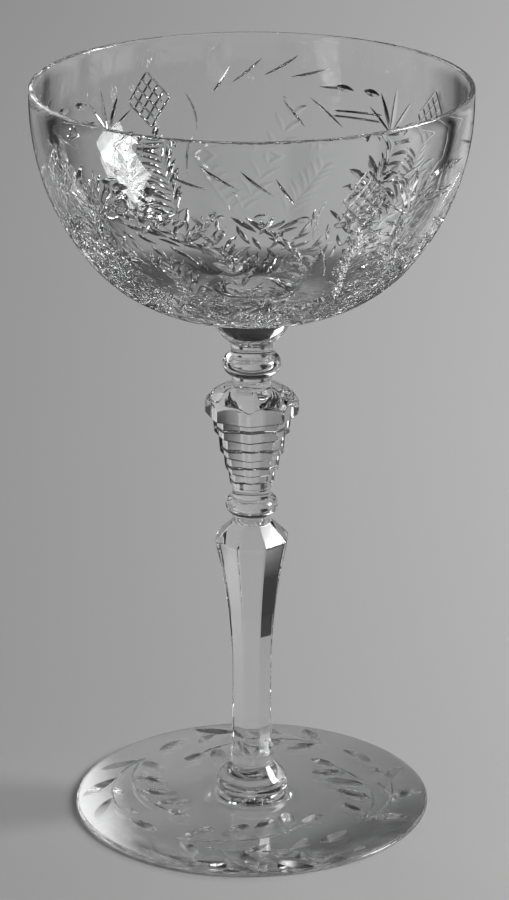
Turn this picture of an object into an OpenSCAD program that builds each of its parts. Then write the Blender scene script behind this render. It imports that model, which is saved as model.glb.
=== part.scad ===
// Coupe glass with a faceted, stepped stem, built from eight lumps of clear glass fused end to end.
// Millimetres, +Z up. The origin is the middle of the foot, on the surface that the glass stands on.

/* [Bowl] */
// Outside diameter of the rim
rim_d = 92; // [80:0.5:104]
// Height of the bowl, from its seat on the merese to the rim
bowl_h = 48.6; // [42:0.1:54]
// Thickness of the wall at the rim
rim_t = 1.1; // [0.8:0.1:1.8]
// Thickness of the glass in the bottom of the bowl
bowl_floor_t = 3; // [2:0.1:5]
// Straight upright band under the rim
rim_band_h = 2.6; // [1.5:0.1:5]
// Angle through which the side curves before the tighter bottom curve takes over
side_turn = 38; // [28:1:48]

/* [Merese] */
// Diameter of the merese where it meets the bowl, and of its half-round body
merese_d = 17; // [14:0.1:21]
// Height of the merese
merese_h = 8.9; // [7.5:0.1:11]
// Diameter of the neck between the merese and the upper ring
merese_neck_d = 8.9; // [7.4:0.1:10]

/* [Upper ring] */
// Diameter of the upper ring at its widest
upper_ring_d = 12.4; // [11:0.1:15]
// Height of the bead of the upper ring
upper_bead_h = 4.8; // [3.6:0.1:5.6]
// Height of the upper ring with its necks
upper_ring_h = 6.1; // [5.8:0.1:8]
// Diameter of the neck between the upper ring and the knop
upper_neck_d = 8.5; // [7:0.1:9.6]

/* [Stepped knop] */
// Width of the knop across its corners at the widest step
knop_d = 20.4; // [17:0.1:24]
// Width of the lowest step across its corners
knop_end_d = 10.2; // [9.8:0.1:13]
// Height of the steps, measured along a corner
steps_h = 18.7; // [15:0.1:25]
// Drop of the domed shoulder, from the neck to a corner of the widest step
dome_h = 3.5; // [2:0.1:4.5]
// Height of the neck above the shoulder
knop_top_neck_h = 2.1; // [1:0.1:4]
// Height of the neck below the steps
knop_end_neck_h = 1.9; // [1:0.1:4]
// Inward lean of each lower step, from its top edge to its bottom edge
step_lean = 0.35; // [0.1:0.05:0.6]

/* [Lower ring] */
// Diameter of the lower ring at its widest
lower_ring_d = 11.3; // [10:0.1:14]
// Height of the bead of the lower ring
lower_bead_h = 4; // [3:0.1:4.6]
// Height of the lower ring with its necks
lower_ring_h = 5; // [4.8:0.1:7]
// Diameter of the necks above and below the lower ring
lower_neck_d = 8.3; // [7:0.1:9]

/* [Shaft] */
// Width of the shaft across its flats at the top girdle
shaft_girdle_w = 15.5; // [13:0.1:18]
// Width of the shaft across its flats at the waist
shaft_waist_w = 8.6; // [7.6:0.1:10.5]
// Height of the straight lower part of the shaft
shaft_straight_h = 18; // [12:0.5:24]
// Height of the hollow curve between the waist and the girdle
shaft_taper_h = 31.2; // [24:0.1:38]
// Height of the pyramid-shaped shoulder between the girdle and the neck
shaft_shoulder_h = 4.4; // [3:0.1:6]
// Height of the round neck on top of the shaft
shaft_neck_h = 0.8; // [0.4:0.1:2]

/* [Foot collar] */
// Diameter of the collar where it sits on the foot
collar_d = 15.4; // [14:0.1:17]
// Height of the collar
collar_h = 9.2; // [8.6:0.1:12]
// Height of the upright band at the base of the collar
collar_band_h = 1.2; // [0.6:0.1:1.6]
// Radius of the rounded shoulder of the collar
collar_shoulder_r = 2.6; // [1.6:0.1:3.2]
// Lean of the collar's flank from upright, between the rounded shoulder and the neck
collar_lean = 39; // [35:1:46]
// Lip by which the round neck of the collar stands out past the corners of the shaft
collar_lip = 0.05; // [0.02:0.01:0.4]

/* [Foot] */
// Diameter of the foot
foot_d = 77.4; // [66:0.2:90]
// Thickness of the foot at its rounded edge
foot_edge_t = 1.7; // [1.2:0.1:2]
// Height of the foot where the collar sits on it
foot_h = 3.6; // [3.2:0.1:5]
// Width of the hollow flare round the collar's seat
foot_flare_w = 5.6; // [3:0.1:8]
// Rise of the flare towards the collar's seat
foot_flare_h = 0.8; // [0.4:0.1:0.9]
// Width of the flat ring that the foot stands on
foot_ring_w = 5; // [3:0.5:9]
// Depth of the shallow hollow in the underside
foot_hollow_h = 0.6; // [0.2:0.1:1]

/* [Hidden] */
$fn = 96;
// Number of chords in each arc of the outlines that are drawn point by point
arc_steps = 16;

// Number of sides of the faceted stem parts
stem_sides = 8;
// Angle from the middle of a flat to a corner
half_side = 180 / stem_sides;
// Turn of the knop, which has a corner to the front, and of the shaft, which has a flat to the front
knop_turn = half_side - 4;
shaft_turn = -2;

// Heights of the steps, from the top, as shares of steps_h
step_h_shares = [0.14, 0.235, 0.24, 0.203, 0.182];
// Widths of the steps, from the lowest step's width at 0 to the widest step's width at 1
step_w_shares = [1, 0.67, 0.42, 0.2, 0];

// Width of the shaft's shoulder at its top, inside the round neck, as a share of that neck
shoulder_top_share = 0.85;

// Heights of the seams, from the foot up
collar_z = foot_h;
shaft_z = collar_z + collar_h;
shaft_h = shaft_straight_h + shaft_taper_h + shaft_shoulder_h + shaft_neck_h;
lower_ring_z = shaft_z + shaft_h;
knop_z = lower_ring_z + lower_ring_h;
dome_top_h = knop_end_neck_h + steps_h + dome_h;
knop_h = dome_top_h + knop_top_neck_h;
upper_ring_z = knop_z + knop_h;
merese_z = upper_ring_z + upper_ring_h;
bowl_z = merese_z + merese_h;

// Sum of the first count members of a list
function sum_to(list, count) = count > 0 ? list[count - 1] + sum_to(list, count - 1) : 0;

// Radius of an arc that leaves a line square to the rise and has left it by the rise after the run
function arc_radius(run, rise) = (run * run + rise * rise) / (2 * rise);

// Points along an arc, after its first point
function arc_points(centre, radius, from, to) = [
    for (i = [1 : arc_steps])
        let (angle = from + (to - from) * i / arc_steps)
            centre + radius * [cos(angle), sin(angle)]
];

// Side of a round cup, as points from its flat seat up to its upright band: a bottom arc, then a wider
// side arc. Each runs on smoothly into the next, so both radii follow from the sizes of the cup.
function cup_side(edge_r, seat_r, height, turn) =
    let (run = edge_r - seat_r)
    let (spread = cos(turn) + sin(turn) - 1)
    let (side_r = (height * cos(turn) - run * (1 - sin(turn))) / spread)
    let (bottom_r = (run * sin(turn) - height * (1 - cos(turn))) / spread)
    concat([[seat_r, 0]],
           arc_points([seat_r, bottom_r], bottom_r, -90, -turn),
           arc_points([edge_r - side_r, height], side_r, -turn, 0));

// Outline on both sides of the axis, from the points of its right side
function both_sides(points) =
    concat(points, [for (i = [len(points) - 1 : -1 : 0]) [-points[i].x, points[i].y]]);

// Plane sector of a disc, between two angles less than half a turn apart
module sector(radius, from, to) {
    reach = 2 * radius;
    middle = (from + to) / 2;
    intersection() {
        circle(r = radius);
        polygon([[0, 0],
                 reach * [cos(from), sin(from)],
                 reach * [cos(middle), sin(middle)],
                 reach * [cos(to), sin(to)]]);
    }
}

// Round bead with a neck above it and a neck below it
module beaded_neck(height, bead_d, bead_h, top_d, end_d) {
    middle_z = height / 2;
    rise = (bead_d - min(top_d, end_d)) / 2;
    bead_r = arc_radius(bead_h / 2, rise);
    rotate_extrude() {
        square([end_d / 2, middle_z]);
        translate([0, middle_z]) square([top_d / 2, height - middle_z]);
        intersection() {
            translate([bead_d / 2 - bead_r, middle_z]) circle(r = bead_r);
            square([bead_d / 2, height]);
        }
    }
}

// Bar with flats all round it, which all follow the plane outline given as its child
module faceted(outline_w) {
    intersection_for(i = [0 : stem_sides / 2 - 1])
        rotate(i * 2 * half_side) rotate([90, 0, 0])
            linear_extrude(height = 2 * outline_w, center = true) children();
}

module foot() {
    edge_r = foot_edge_t / 2;
    top_r = foot_d / 2 - edge_r;
    seat_r = collar_d / 2;
    flare_r = seat_r + foot_flare_w;
    flare_z = foot_h - foot_flare_h;
    flare_arc_r = arc_radius(foot_flare_w, foot_flare_h);
    flare = arc_points([flare_r, flare_z + flare_arc_r], flare_arc_r, -90 - asin(foot_flare_w / flare_arc_r), -90);
    // The top is a shallow dome through the foot of the flare and the rounded rim
    dome_z = (flare_r * flare_r - top_r * top_r + flare_z * flare_z - foot_edge_t * foot_edge_t)
             / (2 * (flare_z - foot_edge_t));
    dome_r = norm([top_r, foot_edge_t - dome_z]);
    top = arc_points([0, dome_z], dome_r, acos(flare_r / dome_r), acos(top_r / dome_r));
    edge = arc_points([top_r, edge_r], edge_r, 90, -90);
    hollow_r = top_r - foot_ring_w;
    hollow_arc_r = arc_radius(hollow_r, foot_hollow_h);
    hollow = arc_points([0, foot_hollow_h - hollow_arc_r], hollow_arc_r, acos(hollow_r / hollow_arc_r), 90);
    color([0.86, 0.88, 0.89]) rotate_extrude()
        polygon(concat([[0, foot_h], [seat_r, foot_h]], flare, top, edge, [[hollow_r, 0]], hollow));
}

module foot_collar() {
    base_r = collar_d / 2;
    neck_r = shaft_waist_w / 2 / cos(half_side) + collar_lip;
    shoulder = arc_points([base_r - collar_shoulder_r, collar_band_h], collar_shoulder_r, 0, collar_lean);
    flank_start = shoulder[arc_steps - 1];
    flank_h = (flank_start.x - neck_r) / tan(collar_lean);
    color([0.83, 0.86, 0.88]) translate([0, 0, collar_z]) rotate_extrude()
        polygon(concat([[0, 0], [base_r, 0], [base_r, collar_band_h]], shoulder,
                       [[neck_r, flank_start.y + flank_h], [neck_r, collar_h], [0, collar_h]]));
}

module faceted_shaft() {
    half_waist = shaft_waist_w / 2;
    half_neck = lower_neck_d / 2 * shoulder_top_share;
    girdle_z = shaft_straight_h + shaft_taper_h;
    taper_arc_r = arc_radius(shaft_taper_h, shaft_girdle_w / 2 - half_waist);
    hollow_taper = arc_points([half_waist + taper_arc_r, shaft_straight_h], taper_arc_r,
                              180, 180 - asin(shaft_taper_h / taper_arc_r));
    color([0.88, 0.89, 0.9]) translate([0, 0, shaft_z]) {
        rotate(shaft_turn) faceted(shaft_girdle_w)
            polygon(both_sides(concat([[half_waist, 0], [half_waist, shaft_straight_h]], hollow_taper,
                                      [[half_neck, girdle_z + shaft_shoulder_h]])));
        translate([0, 0, girdle_z]) cylinder(d = lower_neck_d, h = shaft_shoulder_h + shaft_neck_h);
    }
}

module lower_ring() {
    color([0.84, 0.86, 0.87]) translate([0, 0, lower_ring_z])
        beaded_neck(lower_ring_h, lower_ring_d, lower_bead_h, lower_neck_d, lower_neck_d);
}

module stepped_knop() {
    last = len(step_h_shares) - 1;
    dome_arc_r = arc_radius((knop_d - upper_neck_d) / 2, dome_h);
    step_z = [for (i = [0 : last + 1]) knop_end_neck_h + steps_h * (1 - sum_to(step_h_shares, i))];
    step_half = [for (share = step_w_shares) (knop_end_d + (knop_d - knop_end_d) * share) / 2 * cos(half_side)];
    lower_steps = [for (i = [last : -1 : 1])
                       each [[step_half[i] - step_lean, step_z[i + 1]], [step_half[i], step_z[i]]]];
    widest_step = [[step_half[0], step_z[1]], [step_half[0], dome_top_h]];
    color([0.87, 0.88, 0.89]) translate([0, 0, knop_z]) {
        intersection() {
            rotate(knop_turn) faceted(knop_d) polygon(both_sides(concat(lower_steps, widest_step)));
            rotate_extrude() {
                square([upper_neck_d / 2, dome_top_h]);
                translate([upper_neck_d / 2, dome_top_h - dome_arc_r]) sector(dome_arc_r, 0, 90);
                square([upper_neck_d / 2 + dome_arc_r, dome_top_h - dome_arc_r]);
            }
        }
        cylinder(d = lower_neck_d, h = knop_end_neck_h + steps_h);
        translate([0, 0, knop_end_neck_h + steps_h]) cylinder(d = upper_neck_d, h = dome_h + knop_top_neck_h);
    }
}

module upper_ring() {
    color([0.84, 0.86, 0.87]) translate([0, 0, upper_ring_z])
        beaded_neck(upper_ring_h, upper_ring_d, upper_bead_h, merese_neck_d, upper_neck_d);
}

module bowl_merese() {
    color([0.8, 0.83, 0.85]) translate([0, 0, merese_z]) rotate_extrude() {
        square([merese_neck_d / 2, merese_h]);
        intersection() {
            translate([0, merese_h]) circle(d = merese_d);
            square([merese_d / 2, merese_h]);
        }
    }
}

module bowl() {
    rim_r = rim_d / 2;
    seat_r = merese_d / 2;
    shell_h = bowl_h - rim_t / 2;
    side_h = shell_h - rim_band_h;
    outside = cup_side(rim_r, seat_r, side_h, side_turn);
    inside = cup_side(rim_r - rim_t, seat_r, side_h - bowl_floor_t, side_turn);
    melted_rim = arc_points([rim_r - rim_t / 2, shell_h], rim_t / 2, 0, 180);
    color([0.88, 0.9, 0.91]) translate([0, 0, bowl_z]) rotate_extrude()
        polygon(concat([[0, 0]], outside, [[rim_r, shell_h]], melted_rim,
                       [for (i = [len(inside) - 1 : -1 : 0]) inside[i] + [0, bowl_floor_t]],
                       [[0, bowl_floor_t]]));
}

foot();
foot_collar();
faceted_shaft();
lower_ring();
stepped_knop();
upper_ring();
bowl_merese();
bowl();
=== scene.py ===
# Tall coupe in clear cut glass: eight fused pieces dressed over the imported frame
import math
import bmesh
import bpy
import numpy as np
from mathutils.geometry import delaunay_2d_cdt
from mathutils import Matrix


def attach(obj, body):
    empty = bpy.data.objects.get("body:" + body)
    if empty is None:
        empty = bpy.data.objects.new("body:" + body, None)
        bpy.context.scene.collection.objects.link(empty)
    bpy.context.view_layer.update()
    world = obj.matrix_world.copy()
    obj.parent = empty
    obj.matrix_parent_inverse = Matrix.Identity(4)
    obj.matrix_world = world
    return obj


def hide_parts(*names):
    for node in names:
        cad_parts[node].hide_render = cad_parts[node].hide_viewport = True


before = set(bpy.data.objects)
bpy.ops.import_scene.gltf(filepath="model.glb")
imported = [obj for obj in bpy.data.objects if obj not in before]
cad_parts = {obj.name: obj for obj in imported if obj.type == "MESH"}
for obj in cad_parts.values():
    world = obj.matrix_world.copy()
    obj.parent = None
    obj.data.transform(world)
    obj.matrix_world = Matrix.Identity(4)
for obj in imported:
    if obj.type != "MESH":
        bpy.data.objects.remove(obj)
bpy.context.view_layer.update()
mm = 0.001
print("frame loaded with", len(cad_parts), "nodes")


# noise in object coordinates, stretched by a mapping, as the start of every glass finish
def noiseBranch(tree, stretch, scale, detail):
    nodes, links = tree.nodes, tree.links
    place = nodes.new("ShaderNodeTexCoord")
    mapping = nodes.new("ShaderNodeMapping")
    mapping.inputs["Scale"].default_value = stretch
    noise = nodes.new("ShaderNodeTexNoise")
    noise.inputs["Scale"].default_value = scale
    noise.inputs["Detail"].default_value = detail
    links.new(place.outputs["Object"], mapping.inputs["Vector"])
    links.new(mapping.outputs["Vector"], noise.inputs["Vector"])
    return noise


# a value taken from one range to another and held at both ends, evenly or with a smooth start and end
def ranged(tree, value, start, end, low, high, smooth=False):
    node = tree.nodes.new("ShaderNodeMapRange")
    node.interpolation_type = "SMOOTHSTEP" if smooth else "LINEAR"
    for socket, number in zip(("From Min", "From Max", "To Min", "To Max"), (start, end, low, high)):
        node.inputs[socket].default_value = number
    tree.links.new(value, node.inputs["Value"])
    return node.outputs["Result"]


# two values put through one operation
def joined(tree, operation, first, second):
    node = tree.nodes.new("ShaderNodeMath")
    node.operation = operation
    tree.links.new(first, node.inputs[0])
    tree.links.new(second, node.inputs[1])
    return node.outputs["Value"]


# clear glass: faint waves from the hot glass in the bump, faint wipe marks in the roughness, and on top of
# them the roughness that the faces of the cuts carry
def clearGlass(name, look):
    mat = bpy.data.materials.new(name)
    mat.use_nodes = True
    tree = mat.node_tree
    shader = tree.nodes["Principled BSDF"]
    shader.inputs["Base Color"].default_value = look["tint"]
    shader.inputs["Transmission Weight"].default_value = 1.0
    shader.inputs["IOR"].default_value = look["ior"]
    waves = noiseBranch(tree, look["waveStretch"], look["waveScale"], look["waveDetail"])
    bump = tree.nodes.new("ShaderNodeBump")
    bump.inputs["Strength"].default_value = look["waveStrength"]
    bump.inputs["Distance"].default_value = look["waveHeight"]
    tree.links.new(waves.outputs["Fac"], bump.inputs["Height"])
    tree.links.new(bump.outputs["Normal"], shader.inputs["Normal"])
    wipes = noiseBranch(tree, look["wipeStretch"], look["wipeScale"], look["wipeDetail"])
    wiped = ranged(tree, wipes.outputs["Fac"], *look["wipeRange"], *look["rough"])
    wheel = tree.nodes.new("ShaderNodeAttribute")
    wheel.attribute_name = "wheelCut"
    tree.links.new(joined(tree, "ADD", wheel.outputs["Fac"], wiped), shader.inputs["Roughness"])
    return mat


# the flat face inside a fused joint, where the glass runs on and nothing is seen
def fusedSeam(name):
    mat = bpy.data.materials.new(name)
    mat.use_nodes = True
    tree = mat.node_tree
    tree.nodes.remove(tree.nodes["Principled BSDF"])
    clear = tree.nodes.new("ShaderNodeBsdfTransparent")
    tree.links.new(clear.outputs["BSDF"], tree.nodes["Material Output"].inputs["Surface"])
    return mat


cutLook = {"tint": (0.985, 0.988, 0.988, 1), "ior": 1.53, "waveStretch": (1, 1, 2.2), "waveScale": 55,
           "waveDetail": 2.0, "waveStrength": 0.05, "waveHeight": 0.0004, "wipeStretch": (1, 1, 3),
           "wipeScale": 140, "wipeDetail": 5.0, "wipeRange": (0.35, 0.75), "rough": (0.0, 0.012)}
stemLook = {"tint": (0.985, 0.988, 0.988, 1), "ior": 1.53, "waveStretch": (1, 1, 0.35), "waveScale": 120,
            "waveDetail": 2.0, "waveStrength": 0.1, "waveHeight": 0.0003, "wipeStretch": (1, 1, 0.5),
            "wipeScale": 220, "wipeDetail": 5.0, "wipeRange": (0.35, 0.75), "rough": (0.0, 0.012)}
cutGlass = clearGlass("cut_glass_clear", cutLook)
stemGlass = clearGlass("stem_glass_clear", stemLook)
seam = fusedSeam("fused_seam")
print("glass finishes made")


# quads between neighbouring rows and columns of a grid; the last column joins the first
def ringFaces(rows, columns):
    index = np.arange(rows * columns).reshape(rows, columns)
    ahead = np.roll(index, -1, axis=1)
    return np.stack((index[:-1], ahead[:-1], ahead[1:], index[1:]), axis=-1).reshape(-1, 4)


# skin round the axis on a grid: x = radius cos(turn), y = radius sin(turn), z = height
def roundSkin(radius, height, turns, finish=0):
    radius, height = np.broadcast_arrays(radius, height)
    points = np.stack((radius * np.cos(turns), radius * np.sin(turns), height), axis=-1)
    faces = ringFaces(*radius.shape)
    return points.reshape(-1, 3), faces, finish, np.zeros(len(faces))


# flat disc: rings from the axis out to the given radius, which may change from column to column
def flatDisc(radius, height, turns, finish=1):
    rings = np.linspace(0, 1, 4)[:, None] * np.broadcast_to(radius, turns.shape)
    return roundSkin(rings, np.full(rings.shape, height), turns, finish)


# outline with eased corners: resampled evenly, averaged over a short window, then thinned
# so that a new row comes after each few degrees of turning or after each gap of length
def easedLine(corners, soft, turnStep=5.0, gap=1.4, fine=0.02):
    corners = np.asarray(corners, dtype=float)
    run = np.concatenate(([0], np.cumsum(np.linalg.norm(np.diff(corners, axis=0), axis=1))))
    count = int(run[-1] / fine)
    even = np.linspace(0, run[-1], count)
    line = np.stack([np.interp(even, run, corners[:, k]) for k in (0, 1)], axis=1)
    pad = max(1, int(soft / fine / 2))
    window = np.hanning(2 * pad + 3)[1:-1]
    window = window / window.sum()
    longer = np.concatenate((2 * line[0] - line[pad:0:-1], line, 2 * line[-1] - line[-2:-pad - 2:-1]))
    line = np.stack([np.convolve(longer[:, k], window, "valid") for k in (0, 1)], axis=1)
    step = np.diff(line, axis=0)
    heading = np.unwrap(np.arctan2(step[:, 1], step[:, 0]))
    turned = np.concatenate(([0], np.abs(np.diff(heading)), [0]))
    length = np.concatenate(([0], np.linalg.norm(step, axis=1)))
    measure = np.cumsum(turned / math.radians(turnStep) + length / gap)
    rows = np.searchsorted(measure, np.linspace(0, measure[-1], int(measure[-1]) + 2)[:-1])
    return line[np.unique(np.append(rows, len(line) - 1))]


# points along an arc of the outline, from one angle to another, in degrees
def arcLine(centre, radius, start, end, count=24):
    angle = np.radians(np.linspace(start, end, count))
    return np.stack((centre[0] + radius * np.cos(angle), centre[1] + radius * np.sin(angle)), axis=1)


# corner C with points A and B a little way along its legs gives (1-t)^2 A + 2t(1-t) C + t^2 B;
# the outline is corners by columns by (radius, height), and its two ends stay
def easedColumns(outline, reach, steps=7, most=0.45):
    corner = outline[1:-1]
    legBack, legOn = outline[:-2] - corner, outline[2:] - corner
    backLength = np.linalg.norm(legBack, axis=-1, keepdims=True)
    onLength = np.linalg.norm(legOn, axis=-1, keepdims=True)
    near = corner + legBack * np.minimum(reach / backLength, most)
    far = corner + legOn * np.minimum(reach / onLength, most)
    t = np.linspace(0, 1, steps)[None, :, None, None]
    curve = (1 - t) ** 2 * near[:, None] + 2 * t * (1 - t) * corner[:, None] + t ** 2 * far[:, None]
    return np.concatenate((outline[:1], curve.reshape(-1, *outline.shape[1:]), outline[-1:]))


# puts the patches together, closes their seams and hangs the piece on the frame; a patch is its points, its
# faces, its finish (0 for glass, 1 for a fused seam) and the roughness of each face
def makePiece(name, node, glass, patches, creaseAngle, weldGap=0.002, sliverGap=0.0005):
    offsets = np.cumsum([0] + [len(patch[0]) for patch in patches])
    points = np.concatenate([patch[0] for patch in patches]) * mm
    faces = [face for patch, start in zip(patches, offsets) for face in (patch[1] + start).tolist()]
    finishes = np.concatenate([np.full(len(patch[1]), patch[2]) for patch in patches])
    mesh = bpy.data.meshes.new(name)
    mesh.from_pydata(points.tolist(), [], faces)
    mesh.polygons.foreach_set("material_index", finishes.astype(np.int32))
    wheel = mesh.attributes.new("wheelCut", "FLOAT", "FACE")
    wheel.data.foreach_set("value", np.concatenate([patch[3] for patch in patches]).astype(np.float32))
    mesh.materials.append(glass)
    mesh.materials.append(seam)
    shell = bmesh.new()
    shell.from_mesh(mesh)
    bmesh.ops.remove_doubles(shell, verts=shell.verts, dist=weldGap * mm)
    bmesh.ops.dissolve_degenerate(shell, edges=shell.edges, dist=sliverGap * mm)
    bmesh.ops.recalc_face_normals(shell, faces=shell.faces)
    openEdges = sum(not edge.is_manifold for edge in shell.edges)
    shell.to_mesh(mesh)
    shell.free()
    mesh.shade_smooth()
    mesh.set_sharp_from_angle(angle=math.radians(creaseAngle))
    piece = bpy.data.objects.new(name, mesh)
    bpy.context.scene.collection.objects.link(piece)
    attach(piece, "root")
    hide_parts(node)
    print(name, "made:", len(mesh.polygons), "faces,", openEdges, "open edges")
    return piece


leafPoints, linePointGap, lineTaper = 9, 2.5, 0.06


# a V-shaped cut: its spine runs in the local plane of the surface, x round the piece and y along the
# outline, and the cut is deepest on the spine and runs out at half its width on each side; a leaf swells as
# a power of sin(pi t), and a line keeps its width up to its short tapered ends
def leafCut(turn, along, heading, length, width, deep, bend=0.0, fullness=0.8, line=False):
    if line:
        body = np.linspace(lineTaper, 1 - lineTaper, max(3, int(length / linePointGap)))
        t = np.concatenate(([0], body, [1]))
        share = np.clip(np.minimum(t, 1 - t) / lineTaper, 0, 1)
    else:
        t = np.linspace(0, 1, leafPoints)
        share = np.sin(np.pi * t) ** fullness
        share[[0, -1]] = 0
    angle = math.radians(heading)
    straight = t * length
    sag = 4 * t * (1 - t) * bend * length
    spine = np.stack((straight * math.cos(angle) - sag * math.sin(angle),
                      straight * math.sin(angle) + sag * math.cos(angle)), axis=1)
    return {"turn": turn, "along": along, "spine": spine, "half": width / 2 * share, "deep": deep * share}


# a polished round-ended dish: depth falls off with the square of the distance from its middle
def oliveCut(turn, along, heading, length, width, deep):
    return {"turn": turn, "along": along, "heading": math.radians(heading),
            "size": (length / 2, width / 2), "dish": deep}


dishSides, dishRings = 16, np.array([1, 0.8, 0.55, 0.28])[:, None]


# where a cut puts its points and creases, in its own plane: rings of ellipses in a dish, and the spine and
# both borders of a V
def cutPoints(cut):
    if "dish" in cut:
        around = np.linspace(0, 2 * np.pi, dishSides + 1)[:-1]
        x = np.append((dishRings * cut["size"][0] * np.cos(around)).ravel(), 0)
        y = np.append((dishRings * cut["size"][1] * np.sin(around)).ravel(), 0)
        c, s = math.cos(cut["heading"]), math.sin(cut["heading"])
        ring = np.arange(dishSides)
        return np.stack((x * c - y * s, x * s + y * c), axis=1), np.stack((ring, np.roll(ring, -1)), axis=1)
    spine, half = cut["spine"], cut["half"][:, None]
    way = np.gradient(spine, axis=0)
    way = way / np.linalg.norm(way, axis=1, keepdims=True)
    side = np.stack((-way[:, 1], way[:, 0]), axis=1)
    count = len(spine)
    inner = slice(1, count - 1)
    points = np.concatenate((spine, (spine + side * half)[inner], (spine - side * half)[inner]))
    middle = np.arange(count)
    left = np.concatenate(([0], np.arange(count, 2 * count - 2), [count - 1]))
    right = np.concatenate(([0], np.arange(2 * count - 2, 3 * count - 4), [count - 1]))
    chains = [np.stack((chain[:-1], chain[1:]), axis=1) for chain in (middle, left, right)]
    return points, np.concatenate(chains)


# depth of one cut at points of its own plane: a dish falls off with the square of the distance, and a V
# falls evenly from the nearest point of its spine to its border
def cutDepth(cut, x, y):
    if "dish" in cut:
        c, s = math.cos(cut["heading"]), math.sin(cut["heading"])
        reach = ((x * c + y * s) / cut["size"][0]) ** 2 + ((y * c - x * s) / cut["size"][1]) ** 2
        return cut["dish"] * np.clip(1 - reach, 0, 1)
    start, step = cut["spine"][:-1], np.diff(cut["spine"], axis=0)
    away = np.stack((x, y), axis=1)[:, None] - start
    share = np.clip((away * step).sum(-1) / (step ** 2).sum(-1), 0, 1)
    distance = np.linalg.norm(away - share[..., None] * step, axis=-1)
    nearest = distance.argmin(axis=1)
    row = np.arange(len(x))
    share, distance = share[row, nearest], distance[row, nearest]
    half = cut["half"][nearest] + share * np.diff(cut["half"])[nearest]
    deep = cut["deep"][nearest] + share * np.diff(cut["deep"])[nearest]
    return deep * np.clip(1 - distance / np.maximum(half, 1e-6), 0, 1)


# skin with cuts: one repeat of the pattern is laid out flat, with the distance round the piece against the
# distance along its outline, netted with every crease as an edge, sunk by the cuts' depth and turned round;
# faces deeper than the skim are cut faces and carry the matte roughness
def cutSkin(line, cuts, repeats, columns, rowGap, matte, margin=0.05, skim=0.004, weld=1e-4):
    run = np.concatenate(([0], np.cumsum(np.linalg.norm(np.diff(line, axis=0), axis=1))))
    slope = np.gradient(line, run, axis=0)
    slope = slope / np.linalg.norm(slope, axis=1, keepdims=True)
    widest = line[:, 0].max()
    sector = 2 * np.pi / repeats
    period = sector * widest

    def radiusAt(along):
        return np.interp(along, run, line[:, 0])

    copies = []
    for cut in cuts:
        local, edges = cutPoints(cut)
        along = cut["along"] + local[:, 1]
        flat = np.stack((cut["turn"] * widest + local[:, 0] * widest / radiusAt(along), along), axis=1)
        for shift in (-period, 0, period):
            moved = flat + (shift, 0)
            if moved[:, 0].max() > 0 and moved[:, 0].min() < period:
                copies.append((cut, shift, moved, edges))

    def depthAt(flat):
        depth = np.zeros(len(flat))
        for cut, shift, moved, edges in copies:
            low, high = moved.min(axis=0) - margin, moved.max(axis=0) + margin
            near = np.flatnonzero(((flat > low) & (flat < high)).all(axis=1))
            if len(near):
                x = (flat[near, 0] - shift - cut["turn"] * widest) * radiusAt(flat[near, 1]) / widest
                depth[near] = np.maximum(depth[near], cutDepth(cut, x, flat[near, 1] - cut["along"]))
        return depth

    across = np.linspace(0, period, columns + 1)
    levels = np.linspace(0, run[-1], int(run[-1] / rowGap) + 1)
    grid = np.stack(np.meshgrid(across, levels[1:-1], indexing="ij"), axis=-1).reshape(-1, 2)
    grid = grid[depthAt(grid) == 0]
    first = np.stack((across, np.zeros(columns + 1)), axis=1)
    last = np.stack((across, np.full(columns + 1, run[-1])), axis=1)
    chain = np.stack((np.arange(columns), np.arange(1, columns + 1)), axis=1)
    flats, edges, count = [first, last], [chain, chain + columns + 1], 2 * columns + 2
    edges.append(np.array([[0, columns + 1], [columns, 2 * columns + 1]]))
    for cut, shift, moved, creases in copies:
        flats.append(moved)
        edges.append(creases + count)
        count += len(moved)
    flats.append(grid)
    net = delaunay_2d_cdt(np.concatenate(flats).tolist(), np.concatenate(edges).tolist(), [], 0, weld)
    flat = np.array([tuple(point) for point in net[0]])
    faces = np.array([face for face in net[2] if len(face) == 3])
    middle = flat[faces].mean(axis=1)
    inside = ((middle > 0) & (middle < (period, run[-1]))).all(axis=1)
    faces = faces[inside]
    wheel = matte * (depthAt(middle[inside]) > skim)
    used, faces = np.unique(faces, return_inverse=True)
    faces = faces.reshape(-1, 3)
    flat = flat[used]
    depth = depthAt(flat)
    radius = radiusAt(flat[:, 1]) + depth * np.interp(flat[:, 1], run, slope[:, 1])
    height = np.interp(flat[:, 1], run, line[:, 1]) - depth * np.interp(flat[:, 1], run, slope[:, 0])
    turns = patternStart + flat[:, 0] / widest + sector * np.arange(repeats)[:, None]
    level = np.broadcast_to(height, turns.shape)
    points = np.stack((radius * np.cos(turns), radius * np.sin(turns), level), axis=-1)
    faces = faces + len(flat) * np.arange(repeats)[:, None, None]
    return points.reshape(-1, 3), faces.reshape(-1, 3), 0, np.tile(wheel, repeats)


# columns of an eight-sided piece: each flat ends a little before its corners, and the strip
# between two flats is the polished bevel; reach is 1 / cos of the angle from the flat's middle
def flatColumns(turn, perFlat, bevel):
    half = math.pi / 8
    within = np.linspace(-1, 1, perFlat) * (half - math.radians(bevel))
    turns = (np.arange(8)[:, None] * 2 * half + within).ravel() + math.radians(turn)
    return turns, np.tile(1 / np.cos(within), 8)


roundTurns = np.linspace(0, 2 * np.pi, 129)[:-1]
patternColumns = 48  # columns in a quarter of the bowl or foot
patternStart = math.radians(-135)
patternTurns = np.linspace(0, 2 * np.pi, 4 * patternColumns + 1)[:-1] + patternStart

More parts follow.
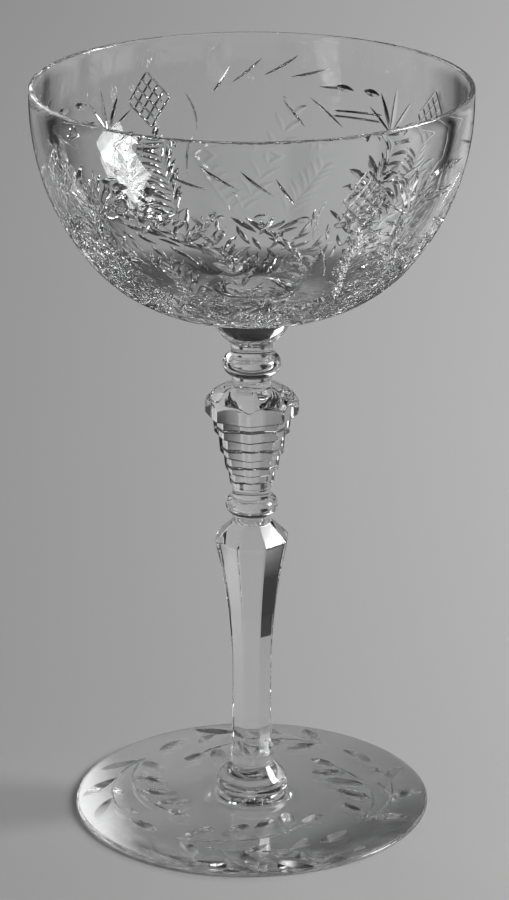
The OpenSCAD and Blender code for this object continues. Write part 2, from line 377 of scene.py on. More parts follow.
shaft = {"bottom": 12.8, "straight": 18.0, "taper": 31.2, "shoulder": 4.4, "neck": 0.8, "waist": 4.3,
         "girdle": 7.75, "shoulderTop": 3.5275, "neckRadius": 4.15, "turn": -2, "bevel": 1.6,
         "perFlat": 13, "straightRows": 9, "taperRows": 40, "ease": 0.25, "crease": 11}


# half width across the flats goes straight up the waist, then follows waist + R - sqrt(R^2 - rise^2);
# a pyramid closes it in to the round neck, so the row where they meet waves from flat to corner
def makeShaft(s):
    turns, reach = flatColumns(s["turn"], s["perFlat"], s["bevel"])
    spread = s["girdle"] - s["waist"]
    big = (s["taper"] ** 2 + spread ** 2) / (2 * spread)
    rise = np.linspace(0, s["taper"], s["taperRows"])[1:]
    lower = np.linspace(0, s["straight"], s["straightRows"])
    halfWidth = s["waist"] + np.concatenate((0 * lower, big - np.sqrt(big ** 2 - rise ** 2)))
    height = s["bottom"] + np.concatenate((lower, s["straight"] + rise))
    levels = np.broadcast_to(height[:, None], (len(height), len(reach)))
    body = np.stack((halfWidth[:, None] * reach, levels), axis=-1)
    meet = s["neckRadius"] / reach
    meetZ = height[-1] + s["shoulder"] * (s["girdle"] - meet) / (s["girdle"] - s["shoulderTop"])
    top = np.full(reach.shape, height[-1] + s["shoulder"] + s["neck"])
    neck = np.full(reach.shape, s["neckRadius"])
    upper = np.stack((np.stack((neck, meetZ), axis=-1), np.stack((neck, top), axis=-1)))
    shoulder = easedColumns(np.concatenate((body[-2:], upper)), s["ease"])
    rows = np.concatenate((body[:-1], shoulder[1:]))
    skin = roundSkin(rows[..., 0], rows[..., 1], turns)
    low = flatDisc(body[0, :, 0], s["bottom"], turns)
    high = flatDisc(neck, top[0], turns)
    patches = [skin, low, high]
    return makePiece("faceted_shaft_glass", "faceted_shaft", stemGlass, patches, s["crease"])


knop = {"bottom": 72.2, "levels": (74.1, 77.503, 81.299, 85.787, 90.182),
        "corner": (5.1, 6.12, 7.242, 8.517, 10.2), "lean": 0.35, "lowNeck": 4.15, "highNeck": 4.25,
        "top": 98.4, "domeTop": 96.3, "domeRadius": 6.8087, "domeRows": 9, "domeEnd": 0.04,
        "turn": 18.5, "bevel": 2.2, "soft": 0.42, "neckSoft": 0.25,
        "perFlat": 15, "crease": 11}


# each step is a band of flats that leans in downwards; the shoulder is a quarter round from the neck out to
# the octagon, radius = neck + R sin(a), height = top - R + R cos(a), and ends where it meets the flats
def makeKnop(k):
    turns, reach = flatColumns(k["turn"], k["perFlat"], k["bevel"])
    flatOf = math.cos(math.pi / 8)

    # one ring of points at a level, round or eight-sided
    def ring(radius, level):
        return np.stack(np.broadcast_arrays(radius, np.full(reach.shape, level)), axis=-1)

    steps = [ring(k["lowNeck"], k["bottom"]), ring(k["lowNeck"], k["levels"][0])]
    for low, high, corner in zip(k["levels"], k["levels"][1:], k["corner"]):
        steps.append(ring((corner * flatOf - k["lean"]) * reach, low))
        steps.append(ring(corner * flatOf * reach, high))
    widest = k["corner"][-1] * flatOf * reach
    steps.append(ring(widest, k["levels"][-1]))
    swing = np.arcsin((widest - k["highNeck"]) / k["domeRadius"])
    angle = np.linspace(1, k["domeEnd"], k["domeRows"])[:, None] * swing
    dome = np.stack((k["highNeck"] + k["domeRadius"] * np.sin(angle),
                     k["domeTop"] - k["domeRadius"] * (1 - np.cos(angle))), axis=-1)
    stem = np.stack((ring(k["highNeck"], k["domeTop"]), ring(k["highNeck"], k["top"])))
    lower = easedColumns(np.concatenate((np.stack(steps), dome[:2])), k["soft"])
    upper = easedColumns(np.concatenate((dome[-2:], stem)), k["neckSoft"])
    rows = np.concatenate((lower, dome[2:-2], upper))
    skin = roundSkin(rows[..., 0], rows[..., 1], turns)
    low = flatDisc(rows[0, :, 0], k["bottom"], turns)
    high = flatDisc(rows[-1, :, 0], k["top"], turns)
    patches = [skin, low, high]
    return makePiece("stepped_knop_glass", "stepped_knop", stemGlass, patches, k["crease"])


# turned piece: an eased outline of (radius, height) from its lower disc to its upper disc
def makeTurned(name, node, outline, soft=0.3, crease=14):
    line = easedLine(outline, soft)
    column = np.ones(len(roundTurns))
    skin = roundSkin(line[:, :1] * column, line[:, 1:] * column, roundTurns)
    low = flatDisc(line[0, 0], line[0, 1], roundTurns)
    high = flatDisc(line[-1, 0], line[-1, 1], roundTurns)
    return makePiece(name, node, stemGlass, [skin, low, high], crease)


# bead of the given bulge between two necks: the arc meets the narrower neck at both ends of its height
def beadOutline(b):
    middle = (b["bottom"] + b["top"]) / 2
    rise = b["bead"] - min(b["lowNeck"], b["highNeck"])
    radius = ((b["beadHeight"] / 2) ** 2 + rise ** 2) / (2 * rise)
    centre = (b["bead"] - radius, middle)
    low = -math.degrees(math.acos((b["lowNeck"] - centre[0]) / radius))
    high = math.degrees(math.acos((b["highNeck"] - centre[0]) / radius))
    return np.concatenate(([(b["lowNeck"], b["bottom"])], arcLine(centre, radius, low, high),
                           [(b["highNeck"], b["top"])]))


lowerRing = {"bottom": 67.2, "top": 72.2, "bead": 5.65, "beadHeight": 4.0, "lowNeck": 4.15, "highNeck": 4.15}
upperRing = {"bottom": 98.4, "top": 104.5, "bead": 6.2, "beadHeight": 4.8, "lowNeck": 4.25, "highNeck": 4.45}
merese = {"bottom": 104.5, "top": 113.4, "neck": 4.45, "radius": 8.5}

makeShaft(shaft)
makeKnop(knop)
makeTurned("lower_ring_glass", "lower_ring", beadOutline(lowerRing))
makeTurned("upper_ring_glass", "upper_ring", beadOutline(upperRing))

# the button under the bowl is the lower half of a ball, from the neck up to its widest level
mereseStart = math.degrees(math.asin(merese["neck"] / merese["radius"]))
mereseLine = np.concatenate(([(merese["neck"], merese["bottom"])],
                             arcLine((0, merese["top"]), merese["radius"], mereseStart - 90, 0, 40)))
makeTurned("bowl_merese_glass", "bowl_merese", mereseLine)

collar = {"bottom": 3.6, "top": 12.8, "radius": 7.7, "band": 1.2, "shoulder": 2.6, "lean": 39, "lip": 0.05,
          "soft": 0.9, "perFlat": 15, "crease": 14}


# bell under the shaft: an upright band, a rounded shoulder, a leaning flank and a neck that takes the end of
# the octagon
def makeCollar(c, s):
    turns, reach = flatColumns(s["turn"], c["perFlat"], s["bevel"])
    neck = s["waist"] / math.cos(math.pi / 8) + c["lip"]
    centre = (c["radius"] - c["shoulder"], c["bottom"] + c["band"])
    bend = arcLine(centre, c["shoulder"], 0, c["lean"])
    flank = (bend[-1, 0] - neck) / math.tan(math.radians(c["lean"]))
    upper = [(neck, bend[-1, 1] + flank), (neck, c["top"])]
    line = easedLine(np.concatenate(([(c["radius"], c["bottom"])], bend, upper)), c["soft"])
    column = np.ones(len(turns))
    skin = roundSkin(line[:, :1] * column, line[:, 1:] * column, turns)
    seat = flatDisc(c["radius"], c["bottom"], turns)
    head = flatDisc(s["waist"] * reach, c["top"], turns)
    lip = roundSkin(np.stack((s["waist"] * reach, neck * column)), c["top"] * np.ones((2, 1)), turns)
    patches = [skin, seat, head, lip]
    return makePiece("foot_collar_glass", "foot_collar", stemGlass, patches, c["crease"])


makeCollar(collar, shaft)

foot = {"radius": 38.7, "edge": 1.7, "height": 3.6, "seat": 7.7, "flareWidth": 5.6, "flareRise": 0.8,
        "ring": 5.0, "hollow": 0.6, "soft": 0.3, "topSoft": 2.0, "roll": 0.7, "rollStart": 27.0,
        "repeats": 4, "rowGap": 1.8, "crease": 9, "matte": 0.27,
        "sprayAlong": 16.5, "stemWidth": 0.6, "stemDeep": 0.18, "stemLength": 30,
        "innerStem": ((-18.0, 5.0), (13.0, -3.0), 1.2), "outerStem": ((-18.0, 5.0), (13.0, 6.0), 1.2),
        "leafLength": 12.5, "leafWidth": 4.4, "leafDeep": 0.62, "leafLean": 34, "leafBend": -0.06,
        "leafFullness": 0.7, "leaves": ((0.16, 1, 0.75), (0.42, 1, 0.9), (0.68, 1, 0.85), (0.54, -1, 0.45),
                                        (0.80, -1, 0.5), (0.97, 0, 0.7)),
        "petalLength": 8.8, "petalWidth": 4.3, "petalDeep": 0.62, "petalLean": 50, "petalGap": 0.7,
        "petals": ((0.14, -1, 0.85), (0.38, -1, 1.0), (0.62, -1, 1.0), (0.86, -1, 0.85), (1.0, 0.3, 0.7))}


# sprig that follows the foot round: two bent stems from one root, round petals along the inner stem and
# pointed leaves along the outer one; x runs round the foot and y outwards from the middle level; each leaf
# or petal is given by its place on the stem, the side it leans to and its size
def footCuts(f):
    middle, base, cuts = math.pi / 4, f["seat"] + f["sprayAlong"], []

    def stemPoint(stem, t):
        (x0, y0), (x1, y1), bow = stem
        x, y = x0 + t * (x1 - x0), y0 + t * (y1 - y0) + 4 * t * (1 - t) * bow
        return x, y, np.degrees(np.arctan2(y1 - y0 + 4 * (1 - 2 * t) * bow, x1 - x0))

    for stem in (f["innerStem"], f["outerStem"]):
        cut = leafCut(middle, f["sprayAlong"], 0, f["stemLength"], f["stemWidth"], f["stemDeep"], line=True)
        x, y, lean = stemPoint(stem, cut["spine"][:, 0] / f["stemLength"])
        cut["spine"] = np.stack((x, y), axis=1)
        cuts.append(cut)
    for t, side, size in f["leaves"]:
        x, y, lean = stemPoint(f["outerStem"], t)
        cuts.append(leafCut(middle + x / base, f["sprayAlong"] + y, lean + side * f["leafLean"],
                            f["leafLength"] * size, f["leafWidth"] * size, f["leafDeep"],
                            bend=f["leafBend"] * side, fullness=f["leafFullness"]))
    for t, side, size in f["petals"]:
        x, y, lean = stemPoint(f["innerStem"], t)
        away = lean + side * f["petalLean"]
        reach = f["petalLength"] * size / 2 + f["petalGap"]
        x, y = x + reach * math.cos(math.radians(away)), y + reach * math.sin(math.radians(away))
        cuts.append(oliveCut(middle + x / base, f["sprayAlong"] + y, away, f["petalLength"] * size,
                             f["petalWidth"] * size, f["petalDeep"]))
    return cuts


# disc with a hollow flare up to the seat, a shallow domed top that rolls down to a rounded rim as the square
# of the distance past the start of the roll, and a hollow underside
def makeFoot(f):
    topRadius = f["radius"] - f["edge"] / 2
    flareRadius, flareZ = f["seat"] + f["flareWidth"], f["height"] - f["flareRise"]
    flare = (f["flareWidth"] ** 2 + f["flareRise"] ** 2) / (2 * f["flareRise"])
    swing = math.degrees(math.asin(f["flareWidth"] / flare))
    domeZ = (flareRadius ** 2 - topRadius ** 2 + flareZ ** 2 - f["edge"] ** 2) / (2 * (flareZ - f["edge"]))
    dome = math.hypot(topRadius, f["edge"] - domeZ)
    out = np.linspace(flareRadius, topRadius, 100)
    topLine = np.concatenate((arcLine((flareRadius, flareZ + flare), flare, -90 - swing, -90, 30)[:-1],
                              np.stack((out, domeZ + np.sqrt(dome ** 2 - out ** 2)), axis=1)))
    past = (topLine[:, 0] - f["rollStart"]) / (topRadius - f["rollStart"])
    topLine[:, 1] -= f["roll"] * np.clip(past, 0, 1) ** 2
    topLine = easedLine(topLine, f["topSoft"], turnStep=1.0, gap=0.5)
    skin = cutSkin(topLine, footCuts(f), f["repeats"], patternColumns, f["rowGap"], f["matte"])
    half = topLine[-1, 1] / 2
    hollowRadius = topRadius - f["ring"]
    big = (hollowRadius ** 2 + f["hollow"] ** 2) / (2 * f["hollow"])
    inward = np.linspace(hollowRadius, 0, 30)
    under = np.stack((inward, f["hollow"] - big + np.sqrt(big ** 2 - inward ** 2)), axis=1)
    edge = arcLine((0, half), half, 90, -90, 40) * (f["edge"] / 2 / half, 1) + (topRadius, 0)
    line = easedLine(np.concatenate((edge, under)), f["soft"], turnStep=8.0, gap=2.0)
    line[0], line[-1, 0] = topLine[-1], 0
    column = np.ones(len(patternTurns))
    rest = roundSkin(line[:, :1] * column, line[:, 1:] * column, patternTurns)
    seat = flatDisc(f["seat"], f["height"], patternTurns)
    return makePiece("foot_glass", "foot", cutGlass, [skin, rest, seat], f["crease"])


makeFoot(foot)

# places on the bowl are x, round it from the middle of the quarter, and the distance along its outline from
# the rim; strokes are (x, along, heading, length) with heading 90 down the outline
bowl = {"rim": 46.0, "bottom": 113.4, "top": 162.0, "wall": 1.1, "floor": 3.0, "band": 2.6, "turn": 38.0,
        "seat": 8.5, "lipRows": 14, "innerEvery": 6, "repeats": 2, "rowGap": 2.0, "crease": 9,
        "matte": 0.015, "radiusAlong": ((0, 10, 20, 30, 38, 46, 54, 60, 68),
                                        (46, 45.7, 43.9, 39.9, 34.6, 28, 21.4, 16, 8.5)),
        "wallAlong": (0, 37, 68), "wallMiddle": 1.9, "mitre": 0.52, "soft": 0.1, "wallShare": 0.52,
        "draw": 7, "uneven": {"turn": 0.004, "heading": 2.5, "length": 0.06},
        "ear": ((9, 13, 232, 7.4), (4.6, 10.7, 220, 8.4), (-2.3, 9.2, 210, 9), (-8.6, 9.3, 197, 9),
                (-15, 11, 184, 8)), "earWidth": 0.58, "earBend": -0.03,
        "fallen": ((-13, 13.5, 142, 10), (-7, 14.5, 130, 8)), "fallenWidth": 0.5,
        "tendril": ((15.5, 12, 103, 10, 0.1), (13.2, 21.6, 74, 11, -0.1)), "tendrilWidth": 0.56,
        "palmPlace": (35.3, 19), "palm": ((-90, 10.5, 1.3), (-118, 10, 1.0), (-62, 10, 1.0),
                                          (-146, 8.5, 0.6), (-34, 8.5, 0.6)),
        "hatchPlace": (24, 13), "hatchRadius": 45.6, "hatchSide": 8.0, "hatchLean": 50, "hatchLines": 5,
        "hatchWidth": 0.46, "hatchDeep": 0.2, "combPlace": (20, 22.5), "combStep": (1.9, -0.5), "comb": 5,
        "combHeading": 70, "combLength": 4.5, "combWidth": 0.5,
        "doubleLine": ((-31, 15.4), (-31, 16.9)), "doubleLength": 12, "doubleWidth": 0.46,
        "lenses": ((-30, 11.2), (-23.5, 11.2)), "lensHeading": -6, "lensLength": 4.4,
        "lensWidth": 1.6, "lensDeep": 0.3,
        "flowerPlace": (31, 31), "flowerRadius": 39.2, "petals": 10, "petalStart": 1.6, "petalLength": 6.8,
        "petalWidth": 1.9, "petalDeep": 0.26, "petalFullness": 0.7, "heart": 2.6, "heartDeep": 0.3,
        "softFerns": (((2, 41), (-9, 18)), ((5, 41), (13, 27)), ((-8, 41), (-16, 30))), "softPairs": 7,
        "softHeading": -105, "softSpread": 40, "softLength": (6.6, -2.2), "softUneven": 0.8,
        "softWidth": 1.5, "softBend": -0.07, "softFullness": 0.65,
        "ferns": (((-22, 43), (-36, 21), 2.0), ((17, 43), (23, 23), -1.5)), "fernStart": 0.04,
        "fernPairs": 11, "fernSpread": 44, "fernLength": (8.6, -3.4), "fernWidth": (1.15, -0.3),
        "fernBend": -0.08,
        "olives": 5, "oliveShift": 0.3, "olivePlace": 43.0, "oliveLean": 15, "oliveSize": (3.4, 2.0, 0.4),
        "rays": 14, "longRay": (0.45, 54.2, 12.6, 1.15, 0.55), "shortRay": (0.95, 58.4, 8.4, 0.8, 0.4),
        "rayFullness": 0.6,
        "foliage": (17.0, 57.0, 3.2), "foliageStart": ((42.0, -9.0), (16.0, 16.0)), "leafGap": 3.2,
        "leafSwing": 58, "leafWaves": 8, "leafShift": 0.9, "leafUneven": 9, "leafSize": (0.8, 1.2),
        "leafLength": 6.4, "leafWidth": 1.25, "leafDrift": 0.7, "leafBend": 0.1}


# ears, tendrils, palms and hatching under the rim, flowers and ferns round the side and rays at the base;
# the ears stand at the middle of each quarter, the palms and flowers between the quarters; a mitre cut is
# half as deep as it is wide, a soft one much shallower, and neither takes much more than half the wall
def bowlCuts(b):
    quarter, cuts = math.pi / 2, []
    draw = np.random.default_rng(b["draw"])
    uneven = b["uneven"]

    def stroke(x, along, heading, length, width, depth=b["mitre"], **more):
        radius = np.interp(along, *b["radiusAlong"])
        wall = np.interp(along, b["wallAlong"], (b["wall"], b["wallMiddle"], b["floor"]))
        turn = quarter / 2 + x / radius + draw.uniform(-uneven["turn"], uneven["turn"])
        heading = heading + draw.uniform(-uneven["heading"], uneven["heading"])
        length = length * draw.uniform(1 - uneven["length"], 1 + uneven["length"])
        deep = min(depth * width, b["wallShare"] * wall)
        cuts.append(leafCut(turn, along, heading, length, width, deep, **more))

    # wheat ear, then two strokes that fall away from it, and a tendril
    for place in b["ear"]:
        stroke(*place, b["earWidth"], bend=b["earBend"])
    for place in b["fallen"]:
        stroke(*place, b["fallenWidth"])
    for x, along, heading, length, bend in b["tendril"]:
        stroke(x, along, heading, length, b["tendrilWidth"], bend=bend)
    # palm
    for heading, length, width in b["palm"]:
        stroke(*b["palmPlace"], heading, length, width)
    # open hatching, with a comb of short strokes below it
    side, lean = b["hatchSide"], math.radians(b["hatchLean"])
    for offset in np.linspace(-0.5, 0.5, b["hatchLines"]) * side:
        for way in (-1, 1):
            x = (offset - side / 2) * math.cos(lean)
            y = -way * (offset + side / 2) * math.sin(lean)
            turn = quarter / 2 + (b["hatchPlace"][0] + x) / b["hatchRadius"]
            cuts.append(leafCut(turn, b["hatchPlace"][1] + y, b["hatchLean"] * way, side, b["hatchWidth"],
                                b["hatchDeep"], line=True))
    for index in range(b["comb"]):
        x, along = np.add(b["combPlace"], np.multiply(b["combStep"], index))
        stroke(x, along, b["combHeading"], b["combLength"], b["combWidth"])
    # double line with two small lens cuts above it
    for x, along in b["doubleLine"]:
        stroke(x, along, 0, b["doubleLength"], b["doubleWidth"], line=True)
    for x, along in b["lenses"]:
        stroke(x, along, b["lensHeading"], b["lensLength"], b["lensWidth"], b["lensDeep"])
    # flower with a round heart
    x, along = b["flowerPlace"]
    for heading in np.arange(b["petals"]) * 360 / b["petals"] - 90:
        away = math.radians(heading)
        stroke(x + b["petalStart"] * math.cos(away), along + b["petalStart"] * math.sin(away), heading,
               b["petalLength"], b["petalWidth"], b["petalDeep"], fullness=b["petalFullness"])
    heart = quarter / 2 + x / b["flowerRadius"]
    cuts.append(oliveCut(heart, along, 0, b["heart"], b["heart"], b["heartDeep"]))
    # faint ferns: pairs of soft leaves along a straight line
    for root, tip in b["softFerns"]:
        for t in np.linspace(0, 1, b["softPairs"]):
            for way in (-1, 1):
                length = np.dot(b["softLength"], (1, t)) + draw.uniform(-b["softUneven"], b["softUneven"])
                stroke(root[0] + t * (tip[0] - root[0]), root[1] + t * (tip[1] - root[1]),
                       b["softHeading"] + b["softSpread"] * way, length, b["softWidth"], b["soft"],
                       bend=b["softBend"] * way, fullness=b["softFullness"])
    # ferns that climb the side: pairs of mitre strokes along a bent stem
    for root, tip, bow in b["ferns"]:
        for t in np.linspace(b["fernStart"], 1, b["fernPairs"]):
            x = root[0] + t * (tip[0] - root[0])
            along = root[1] + t * (tip[1] - root[1]) + 4 * t * (1 - t) * bow
            rise = tip[1] - root[1] + 4 * (1 - 2 * t) * bow
            lean = math.degrees(math.atan2(rise, tip[0] - root[0]))
            for way in (-1, 1):
                stroke(x, along, lean + way * b["fernSpread"], np.dot(b["fernLength"], (1, t)),
                       np.dot(b["fernWidth"], (1, t)), bend=b["fernBend"] * way)
    # small dishes in a row, and rays round the seat
    for turn in (np.arange(b["olives"]) + b["oliveShift"]) * quarter / b["olives"]:
        cuts.append(oliveCut(turn, b["olivePlace"], b["oliveLean"], *b["oliveSize"]))
    for index in range(b["rays"]):
        for shift, along, length, width, deep in (b["longRay"], b["shortRay"]):
            turn = (index + shift) * quarter / b["rays"]
            cuts.append(leafCut(turn, along, 90, length, width, deep, fullness=b["rayFullness"]))
    # all four quarters have these cuts; foliage of close strokes, whose heading swings to and fro round the
    # bowl, covers the lower half and climbs to the rim's band on the sides only
    both = cuts + [dict(cut, turn=cut["turn"] + quarter) for cut in cuts]
    for panel, (start, dip) in enumerate(b["foliageStart"]):
        cuts = []
        for row, level in enumerate(np.arange(*b["foliage"])):
            radius = np.interp(level, *b["radiusAlong"])
            count = int(quarter * radius / b["leafGap"])
            for turn in (np.arange(count) + 0.5 * (row % 2) - count / 2) * quarter / count:
                if level > start + dip * (turn / quarter * 2) ** 2:
                    swing = b["leafSwing"] * math.sin(b["leafWaves"] * turn + b["leafShift"] * row)
                    heading = 90 + swing + draw.uniform(-b["leafUneven"], b["leafUneven"])
                    size = draw.uniform(*b["leafSize"])
                    along = level + draw.uniform(-b["leafDrift"], b["leafDrift"])
                    bend = draw.uniform(-b["leafBend"], b["leafBend"])
                    length, width = b["leafLength"] * size, b["leafWidth"] * size
                    stroke(turn * radius, along, heading, length, width, bend=bend)
        both += [dict(cut, turn=cut["turn"] + quarter * panel) for cut in cuts]
    return both


# side of the cup, a wide arc and then a tighter one down to the seat: with T the turn of the wide arc, their
# radii are height cos T - run (1 - sin T) and run sin T - height (1 - cos T), each over cos T + sin T - 1
def cupLine(edge, seat, height, turn):
    c, s = math.cos(math.radians(turn)), math.sin(math.radians(turn))
    run, spread = edge - seat, c + s - 1
    side = (height * c - run * (1 - s)) / spread
    low = (run * s - height * (1 - c)) / spread
    return np.concatenate((arcLine((edge - side, height), side, 0, -turn, 90),
                           arcLine((seat, low), low, -turn, -90, 90)[1:]))


# cup: an upright band and the two arcs on both faces, a round melted rim and a flat floor
def makeBowl(b):
    shell = b["top"] - b["bottom"] - b["wall"] / 2
    sideHeight = shell - b["band"]
    floorZ = b["bottom"] + b["floor"]
    outer = cupLine(b["rim"], b["seat"], sideHeight, b["turn"])
    outer = np.concatenate(([(b["rim"], shell)], outer)) + (0, b["bottom"])
    inner = cupLine(b["rim"] - b["wall"], b["seat"], sideHeight - b["floor"], b["turn"]) + (0, floorZ)
    lip = arcLine((b["rim"] - b["wall"] / 2, b["bottom"] + shell), b["wall"] / 2, 0, 180, b["lipRows"])
    columns = 4 * patternColumns // b["repeats"]
    skin = cutSkin(outer, bowlCuts(b), b["repeats"], columns, b["rowGap"], b["matte"])
    inside = np.concatenate((lip, inner[::b["innerEvery"]], [(b["seat"], floorZ), (0, floorZ)]))
    column = np.ones(len(patternTurns))
    rest = roundSkin(inside[:, :1] * column, inside[:, 1:] * column, patternTurns)
    seat = flatDisc(b["seat"], b["bottom"], patternTurns)
    return makePiece("bowl_glass", "bowl", cutGlass, [skin, rest, seat], b["crease"])


makeBowl(bowl)

# floor: a wide pale grey sheet, a hair under the foot; the lamps give most of its tone and the shadow, and
# the rest is a glow of its own, seen by the camera and the glass, that rises from left to right, a painted
# light towards the lamp, and with the distance, where it makes up for the lamps' falloff; the glass sees
# that tone round about itself and a dark room farther out, which gives it black edges; under the foot the
# glow is painted light and shade that stand in for the light that the foot gathers at the side away from
# the lamp and for the shade at its front right, and beside the foot's edge it is a painted shadow for the
# narrow shade there; a side is (turn, start, end, low, high), with start and end in shares of the foot's
# radius
# glow is painted light that rises towards the lamp at the right; the foot's and edge's entries are painted
# light and shade under and beside the foot
floorLook = {"half": 4.0, "below": -0.00005, "grey": 0.42, "blotch": (0.96, 1.04), "blotchScale": 3.0,
             "blotchDetail": 4.0, "rough": 0.9, "shine": 0.1,
             "glow": (-0.12, 0.12, 0.05, 0.2), "glowFar": (0.0, 2.6, 0.0, 0.28), "glowRadius": (0.85, 1.1),
             "footRadius": 0.0387, "underFoot": (0.975, 1.0), "footPaintedSlope": (-50, -1.0, 0.7, 0.3, 0.12),
             "footPaintedShade": (-48, 0.5, 0.85, 1.0, 0.0), "footPaintedLight": (190, 0.68, 0.96, 0.0, 0.75),
             "edgePaintedShadow": (1.0, 1.09, 0.75), "edgeShadowSide": (205, 0.1, 0.8, 0.0, 1.0)}


def makeFloor(look):
    mat = bpy.data.materials.new("grey_sheet")
    mat.use_nodes = True
    tree = mat.node_tree
    shader = tree.nodes["Principled BSDF"]
    shader.inputs["Roughness"].default_value = look["rough"]
    shader.inputs["Specular IOR Level"].default_value = look["shine"]
    shader.inputs["Emission Color"].default_value = (1, 1, 1, 1)
    blotch = noiseBranch(tree, (1, 1, 1), look["blotchScale"], look["blotchDetail"])
    low, high = look["blotch"]
    grey = ranged(tree, blotch.outputs["Fac"], 0, 1, look["grey"] * low, look["grey"] * high)
    tree.links.new(grey, shader.inputs["Base Color"])
    place = tree.nodes.new("ShaderNodeTexCoord")
    length = tree.nodes.new("ShaderNodeVectorMath")
    length.operation = "LENGTH"
    tree.links.new(place.outputs["Object"], length.inputs[0])
    away = length.outputs["Value"]
    radius = look["footRadius"]

    # distance from the middle of the foot towards one side of it
    def towards(turn):
        dot = tree.nodes.new("ShaderNodeVectorMath")
        dot.operation = "DOT_PRODUCT"
        dot.inputs[1].default_value = (math.cos(math.radians(turn)), math.sin(math.radians(turn)), 0)
        tree.links.new(place.outputs["Object"], dot.inputs[0])
        return dot.outputs["Value"]

    def sideOf(turn, start, end, low, high):
        return ranged(tree, towards(turn), start * radius, end * radius, low, high, smooth=True)

    # painted light: the glow rises from left to right, towards the lamp, and rises with the distance, where
    # it makes up for the lamps' falloff
    near, far = ranged(tree, towards(0), *look["glow"]), ranged(tree, away, *look["glowFar"])
    beside = joined(tree, "ADD", near, far)
    # painted shadow: a narrow shade along the outside of the foot's edge, on the side away from the lamp
    start, end, shade = look["edgePaintedShadow"]
    edge = ranged(tree, away, start * radius, end * radius, shade, 0, smooth=True)
    paintedEdgeShadow = joined(tree, "MULTIPLY", edge, sideOf(*look["edgeShadowSide"]))
    beside = joined(tree, "MULTIPLY", beside, ranged(tree, paintedEdgeShadow, 0, 1, 1, 0))
    # painted light and shade under the foot: darker towards the front right, on the lamp's side, and
    # brighter at the left, away from the lamp
    paintedUnderFoot = joined(tree, "MULTIPLY", sideOf(*look["footPaintedSlope"]), sideOf(*look["footPaintedShade"]))
    paintedUnderFoot = joined(tree, "ADD", paintedUnderFoot, sideOf(*look["footPaintedLight"]))
    start, end = look["underFoot"]
    floorPaintedTone = tree.nodes.new("ShaderNodeMix")
    tree.links.new(ranged(tree, away, start * radius, end * radius, 1, 0, smooth=True), floorPaintedTone.inputs[0])
    tree.links.new(beside, floorPaintedTone.inputs[2])
    tree.links.new(paintedUnderFoot, floorPaintedTone.inputs[3])
    path = tree.nodes.new("ShaderNodeLightPath")
    byGlass = joined(tree, "MAXIMUM", path.outputs["Is Glossy Ray"], path.outputs["Is Transmission Ray"])
    byGlass = joined(tree, "MULTIPLY", byGlass, ranged(tree, away, *look["glowRadius"], 1, 0, smooth=True))
    seen = joined(tree, "MAXIMUM", path.outputs["Is Camera Ray"], byGlass)
    tree.links.new(joined(tree, "MULTIPLY", floorPaintedTone.outputs[0], seen), shader.inputs["Emission Strength"])
    half, level = look["half"], look["below"]
    corners = [(-half, -half, level), (half, -half, level), (half, half, level), (-half, half, level)]
    mesh = bpy.data.meshes.new("floor")
    mesh.from_pydata(corners, [], [(0, 1, 2, 3)])
    mesh.materials.append(mat)
    sheet = bpy.data.objects.new("floor", mesh)
    bpy.context.scene.collection.objects.link(sheet)
    print("floor laid")


makeFloor(floorLook)


# soft box that looks at a point
def softBox(name, place, target, size, power):
    lamp = bpy.data.lights.new(name, "AREA")
    lamp.shape = "RECTANGLE"
    lamp.size, lamp.size_y = size
    lamp.energy = power
    box = bpy.data.objects.new(name, lamp)
    box.location = place
    way = np.array(target) - np.array(place)
    tilt = math.acos(-way[2] / np.linalg.norm(way))
    box.rotation_euler = (tilt, 0, math.atan2(way[1], way[0]) - math.pi / 2)
    box.visible_camera = False
    bpy.context.scene.collection.objects.link(box)


lamps = {"window_right": {"place": (0.8, 0.05, 0.5), "target": (0, 0, 0.06), "size": (0.36, 0.42),
                          "power": 8.5},
         "pale_card_left": {"place": (-0.62, 0.8, 0.55), "target": (0, 0, 0.05), "size": (0.45, 0.5),
                            "power": 1.6}}
for lampName, lampLook in lamps.items():
    softBox(lampName, **lampLook)
print("lamps hung:", len(lamps))

# dark flags with soft edges in rings round the glass, out of the camera's sight and of the lamps' way:
# the edges of the glass pick them up as black lines, and between them the pale floor is seen straight
# through; a softer ring lies level under the bowl and darkens the cuts that look steeply down, and a low
# flag at the left and back, a painted shadow that stands in for the glass's shadow on the floor there,
# gives the shaft its dark stripe; distance and height go from the lower border to the upper one
flags = {"first": 22.5, "count": 8, "columns": 13, "rows": 9, "ends": 2.5, "grey": 0.012,
         "rings": ({"distance": (0.2, 0.2), "halfTurn": 8.5, "height": (0.035, 0.2),
                    "shade": 1.0, "sides": 1.6},
                   {"distance": (0.12, 0.12), "halfTurn": 6.0, "height": (0.03, 0.1),
                    "shade": 1.0, "sides": 1.6},
                   {"distance": (0.013, 0.055), "halfTurn": 22.5, "height": (0.104, 0.104),
                    "shade": 0.75, "sides": 0}),
         # the low flag is a painted shadow: a dark card for the glass's shadow on the floor at the left and
         # back
         "low": {"turn": 118.0, "distance": (0.12, 0.12), "halfTurn": 13.0, "height": (-0.02, 0.05),
                 "shade": 1.0, "sides": 3.0}}


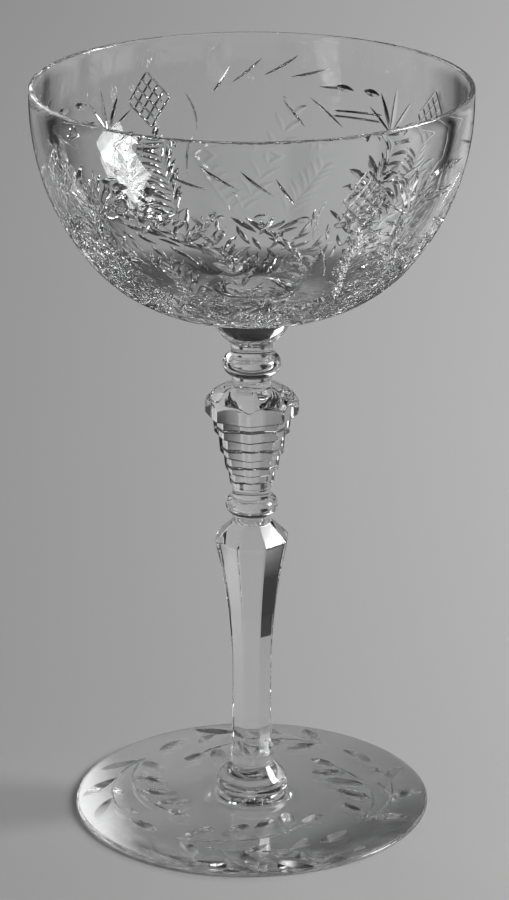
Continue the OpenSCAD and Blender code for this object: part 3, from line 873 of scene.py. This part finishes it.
# each flag is a grid, across it the turn and up it the distance and height; its shade rises from 0 at the
# border to full over the outer part, save at the sides of a closed ring
def makeFlags(look):
    mat = bpy.data.materials.new("dark_flags")
    mat.use_nodes = True
    tree = mat.node_tree
    shader = tree.nodes["Principled BSDF"]
    shader.inputs["Base Color"].default_value = (look["grey"], look["grey"], look["grey"], 1)
    shader.inputs["Roughness"].default_value = 1.0
    shade = tree.nodes.new("ShaderNodeAttribute")
    shade.attribute_name = "shade"
    tree.links.new(shade.outputs["Fac"], shader.inputs["Alpha"])
    across, up = np.meshgrid(np.linspace(-1, 1, look["columns"]), np.linspace(-1, 1, look["rows"]))
    cell = np.arange(across.size).reshape(across.shape)
    quads = np.stack((cell[:-1, :-1], cell[:-1, 1:], cell[1:, 1:], cell[1:, :-1]), axis=-1).reshape(-1, 4)
    turns = [look["first"] + 360 / look["count"] * k for k in range(look["count"])]
    cards = [dict(ring, turn=turn) for ring in look["rings"] for turn in turns] + [look["low"]]
    points, shades = [], []
    for card in cards:
        turn = np.radians(card["turn"] + across * card["halfTurn"])
        distance = np.interp(up, (-1, 1), card["distance"])
        height = np.interp(up, (-1, 1), card["height"])
        points.append(np.stack((distance * np.cos(turn), distance * np.sin(turn), height), axis=-1))
        sides = np.clip((1 - np.abs(across)) * card["sides"], 0, 1) if card["sides"] else 1
        shades.append(card["shade"] * sides * np.clip((1 - np.abs(up)) * look["ends"], 0, 1))
    faces = quads + across.size * np.arange(len(cards))[:, None, None]
    mesh = bpy.data.meshes.new("dark_flags")
    mesh.from_pydata(np.concatenate(points).reshape(-1, 3).tolist(), [], faces.reshape(-1, 4).tolist())
    layer = mesh.attributes.new("shade", "FLOAT", "POINT")
    layer.data.foreach_set("value", np.concatenate(shades).ravel().astype(np.float32))
    mesh.materials.append(mat)
    ring = bpy.data.objects.new("dark_flags", mesh)
    ring.visible_camera = False
    ring.visible_shadow = False
    ring.visible_diffuse = False
    bpy.context.scene.collection.objects.link(ring)
    print("flags set:", len(cards))


makeFlags(flags)

# surroundings: a dark room, which the camera sees as pale as the floor
room = {"pale": 0.33, "dark": 0.012}


def makeRoom(look):
    world = bpy.data.worlds.new("room")
    bpy.context.scene.world = world
    world.use_nodes = True
    tree = world.node_tree
    path = tree.nodes.new("ShaderNodeLightPath")
    level = ranged(tree, path.outputs["Is Camera Ray"], 0, 1, look["dark"], look["pale"])
    tree.links.new(level, tree.nodes["Background"].inputs["Color"])


makeRoom(room)

# camera solved from the ellipses of the rim and foot
cameraLook = {"sensor": 36, "lens": 148.04, "place": (0.00056, -0.7417, 0.3513), "tilt": 70.03}
camera = bpy.data.cameras.new("camera")
camera.sensor_width = cameraLook["sensor"]
camera.lens = cameraLook["lens"]
view = bpy.data.objects.new("camera", camera)
view.location = cameraLook["place"]
view.rotation_euler = (math.radians(cameraLook["tilt"]), 0, 0)
bpy.context.scene.collection.objects.link(view)
bpy.context.scene.camera = view
bpy.context.scene.view_settings.view_transform = "Standard"
bounces = 40  # light crosses many walls of glass, and what is turned back inside counts as glossy
bpy.context.scene.cycles.max_bounces = bounces
bpy.context.scene.cycles.transmission_bounces = bounces
bpy.context.scene.cycles.glossy_bounces = bounces
bpy.context.scene.cycles.transparent_max_bounces = bounces
print("stage, lights and camera set")
